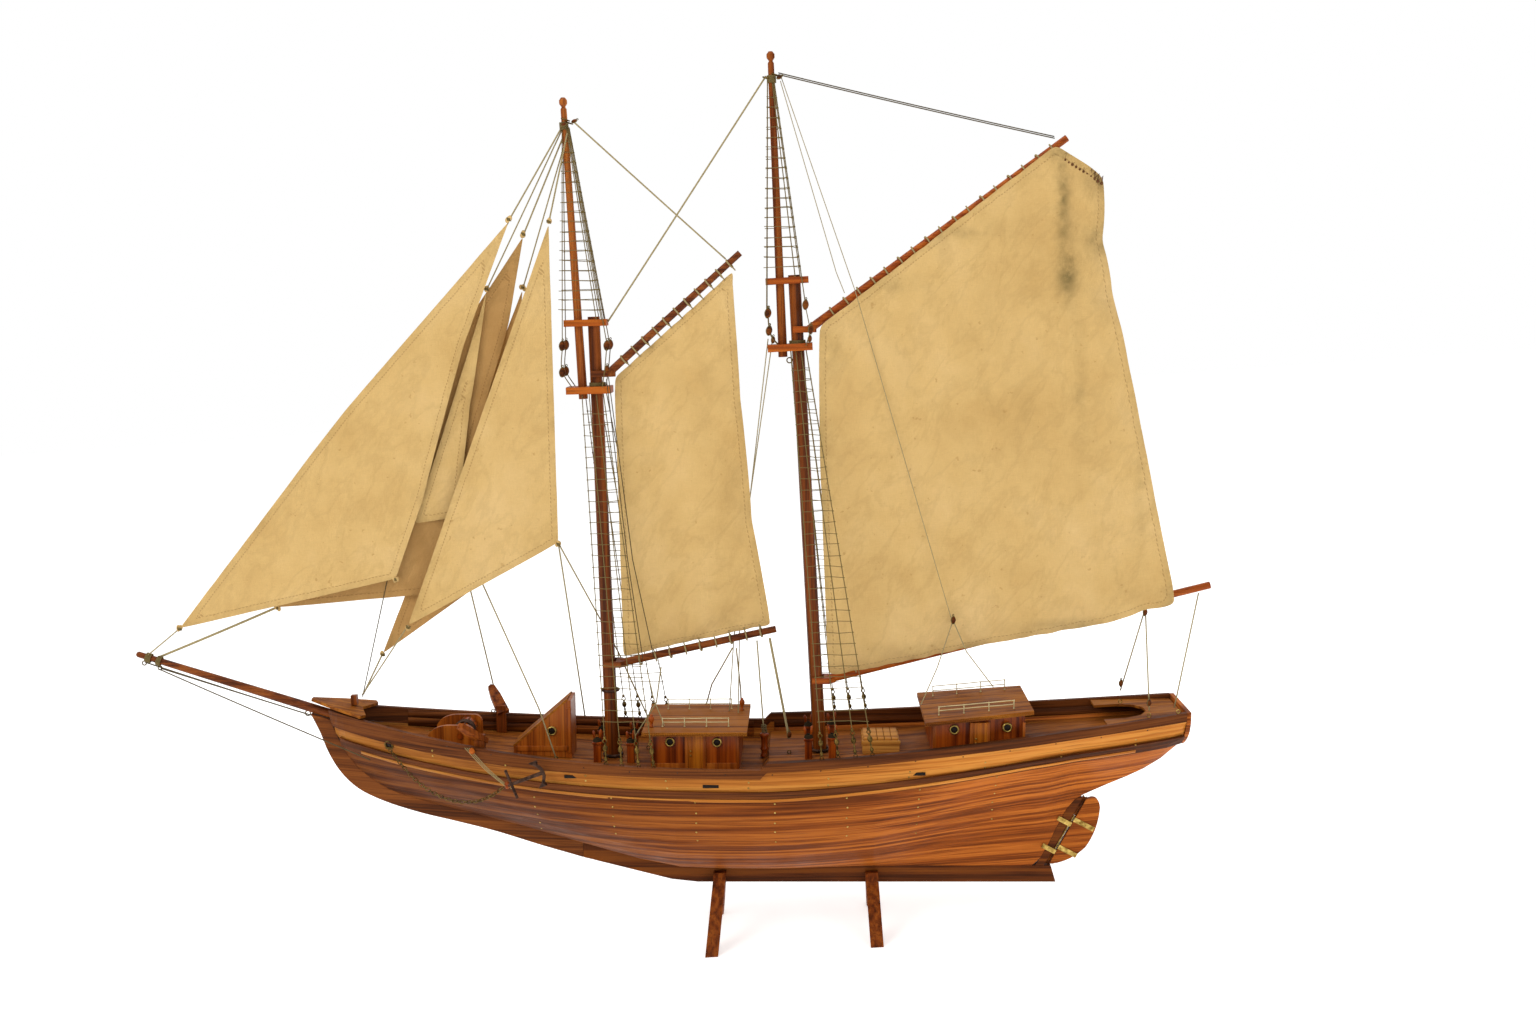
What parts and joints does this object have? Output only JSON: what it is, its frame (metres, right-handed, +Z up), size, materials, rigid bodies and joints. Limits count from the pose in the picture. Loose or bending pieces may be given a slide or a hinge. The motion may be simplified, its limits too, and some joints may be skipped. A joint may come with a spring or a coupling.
{
  "type": "model sailing ship",
  "caption": "Display model of a gaff-rigged schooner: planked wooden hull on crutches, masts with topmasts, cloth sails, deck houses, anchors and a turning rudder.",
  "frame": {"origin": "middle of the bounding box of the whole model, on the table that its crutches stand on", "axes": "+Z up, bow towards -X, stern towards +X, port side towards -Y"},
  "size_m": [1.0913, 0.191, 0.8824],
  "materials": {
    "bottom_wood": "satin varnish, red-brown grained hull planking",
    "strake_wood": "satin varnish, honey-coloured sheer strake",
    "dark_wood": "dark stained rails and wales",
    "keel_wood": "varnished keel, stem, rudder and crutches",
    "deck_wood": "worn deck boards",
    "cabin_wood": "glossy red-brown deck houses and fittings",
    "roof_wood": "matt house roofs and hatch",
    "mast_wood": "dark varnished masts",
    "spar_wood": "mahogany spars",
    "boom_wood": "orange-brown main boom and gaff",
    "pale_wood": "pale unstained boards",
    "sailcloth": "tan cotton sailcloth",
    "brass": "tarnished brass",
    "iron": "browned iron"
  },
  "bodies": {
    "hull": {"stem": "keel_wood", "keel": "keel_wood", "sternpost": "keel_wood", "bottom_planking_port": "bottom_wood", "bottom_planking_starboard": "bottom_wood", "sheer_strake_port": "strake_wood", "sheer_strake_starboard": "strake_wood", "rail_port": "dark_wood", "rail_starboard": "dark_wood", "wale_port": "dark_wood", "wale_starboard": "dark_wood", "bulkhead_1": "pale_wood", "bulkhead_2": "pale_wood", "bulkhead_3": "pale_wood", "main_deck": "deck_wood", "quarter_deck": "deck_wood", "poop_deck": "deck_wood", "transom": "dark_wood", "breasthook": "pale_wood", "bowsprit": "spar_wood", "bow_bitt": "cabin_wood", "windlass_frame": "cabin_wood", "cathead_port": "keel_wood", "cathead_starboard": "keel_wood", "anchor_port": "iron", "anchor_starboard": "iron", "anchor_chain_port": "brass", "anchor_chain_starboard": "brass", "companionway": "cabin_wood", "fore_cabin": "cabin_wood", "fore_cabin_roof": "roof_wood", "aft_cabin": "cabin_wood", "aft_cabin_roof": "roof_wood", "hatch": "roof_wood", "fore_lower_mast": "mast_wood", "fore_topmast": "boom_wood", "fore_trestle": "cabin_wood", "fore_cap": "cabin_wood", "main_lower_mast": "mast_wood", "main_topmast": "mast_wood", "main_trestle": "cabin_wood", "main_cap": "cabin_wood", "fore_staysail": "sailcloth", "flying_jib": "sailcloth", "inner_jib": "sailcloth", "outer_jib": "sailcloth", "inner_staysail": "sailcloth", "rudder_pin": "brass", "stand_fore": "keel_wood", "stand_aft": "keel_wood"},
    "rudder": {"rudder_blade": "keel_wood", "rudder_pintle_lower": "brass", "rudder_pintle_upper": "brass"},
    "fore_rig": {"fore_boom": "spar_wood", "fore_gaff": "spar_wood", "foresail": "sailcloth"},
    "main_rig": {"main_boom": "boom_wood", "main_gaff": "boom_wood", "mainsail": "sailcloth"},
    "windlass": {"windlass_drum": "boom_wood"}
  },
  "joints": [
    {"name": "rudder_turn", "type": "hinge", "parent": "hull", "child": "rudder", "pos_m": [0.38935, 0, 0.08395], "axis": [0.5259, 0, 0.8505], "range_deg": [-30, 30]},
    {"name": "fore_rig_swing", "type": "hinge", "parent": "hull", "child": "fore_rig", "pos_m": [-0.06133, 0, 0.29317], "axis": [0.0418, 0, 0.9991], "range_deg": [-8, 8]},
    {"name": "main_rig_swing", "type": "hinge", "parent": "hull", "child": "main_rig", "pos_m": [0.14741, 0, 0.2625], "axis": [0.0145, 0, 0.9999], "range_deg": [-8, 8]},
    {"name": "windlass_turn", "type": "hinge", "parent": "hull", "child": "windlass", "pos_m": [-0.21478, 0, 0.23269], "axis": [0, 1, 0], "continuous": true}
  ]
}
